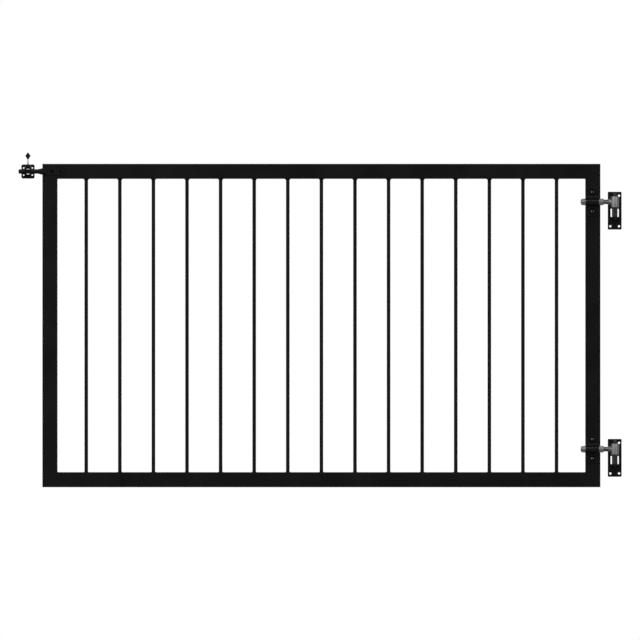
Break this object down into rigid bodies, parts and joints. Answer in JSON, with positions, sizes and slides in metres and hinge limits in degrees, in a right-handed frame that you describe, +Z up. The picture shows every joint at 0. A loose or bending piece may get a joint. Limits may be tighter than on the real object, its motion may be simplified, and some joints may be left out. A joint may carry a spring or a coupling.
{
  "type": "steel garden gate",
  "caption": "Wide low garden gate: welded square-tube leaf with round pickets, adjustable eye-bolt hinges on post plates, and a lift latch that closes on a striker bar.",
  "frame": {"origin": "on the back face of the lower post plate, behind the lower hinge eye", "axes": "+X along the leaf towards the hinge post, +Y from the viewer into the posts, +Z up along the hinge pins"},
  "size_m": [2.0102, 0.0974, 1.1161],
  "materials": {
    "powder_coated_frame": "satin black powder coat on steel tube and bar",
    "black_coated_hardware": "semi-gloss black coating on pressed and turned steel",
    "zinc_plated_steel": "dull zinc plating",
    "plain_steel": "turned bright steel"
  },
  "bodies": {
    "post_fittings": {"lower_post_plate": "black_coated_hardware", "lower_hinge_pin": "black_coated_hardware", "upper_post_plate": "black_coated_hardware", "upper_hinge_pin": "black_coated_hardware", "latch_case": "black_coated_hardware", "latch_pivot": "plain_steel"},
    "leaf": {"latch_stile": "powder_coated_frame", "hinge_stile": "powder_coated_frame", "top_rail": "powder_coated_frame", "bottom_rail": "powder_coated_frame", "picket_01": "powder_coated_frame", "picket_02": "powder_coated_frame", "picket_03": "powder_coated_frame", "picket_04": "powder_coated_frame", "picket_05": "powder_coated_frame", "picket_06": "powder_coated_frame", "picket_07": "powder_coated_frame", "picket_08": "powder_coated_frame", "picket_09": "powder_coated_frame", "picket_10": "powder_coated_frame", "picket_11": "powder_coated_frame", "picket_12": "powder_coated_frame", "picket_13": "powder_coated_frame", "picket_14": "powder_coated_frame", "picket_15": "powder_coated_frame", "striker_bar": "black_coated_hardware", "striker_screws": "black_coated_hardware", "lower_hinge_strap": "black_coated_hardware", "lower_strap_bolts": "black_coated_hardware", "lower_strap_washers": "zinc_plated_steel", "lower_strap_nuts": "zinc_plated_steel", "lower_eye_bolt": "zinc_plated_steel", "lower_eye_nut": "zinc_plated_steel", "lower_cap_nut": "zinc_plated_steel", "lower_eye_washers": "zinc_plated_steel", "upper_hinge_strap": "black_coated_hardware", "upper_strap_bolts": "black_coated_hardware", "upper_strap_washers": "zinc_plated_steel", "upper_strap_nuts": "zinc_plated_steel", "upper_eye_bolt": "zinc_plated_steel", "upper_eye_nut": "zinc_plated_steel", "upper_cap_nut": "zinc_plated_steel", "upper_eye_washers": "zinc_plated_steel"},
    "latch_lever": {"latch_pawl": "black_coated_hardware", "latch_stem": "plain_steel", "latch_knob": "black_coated_hardware"}
  },
  "joints": [
    {"name": "leaf_swing", "type": "hinge", "parent": "post_fittings", "child": "leaf", "pos_m": [0, -0.021, 0], "axis": [0, 0, 1], "range_deg": [0, 180]},
    {"name": "latch_drop", "type": "hinge", "parent": "post_fittings", "child": "latch_lever", "pos_m": [-1.9557, -0.01, 0.9404], "axis": [1, 0, 0], "range_deg": [0, 32]}
  ]
}
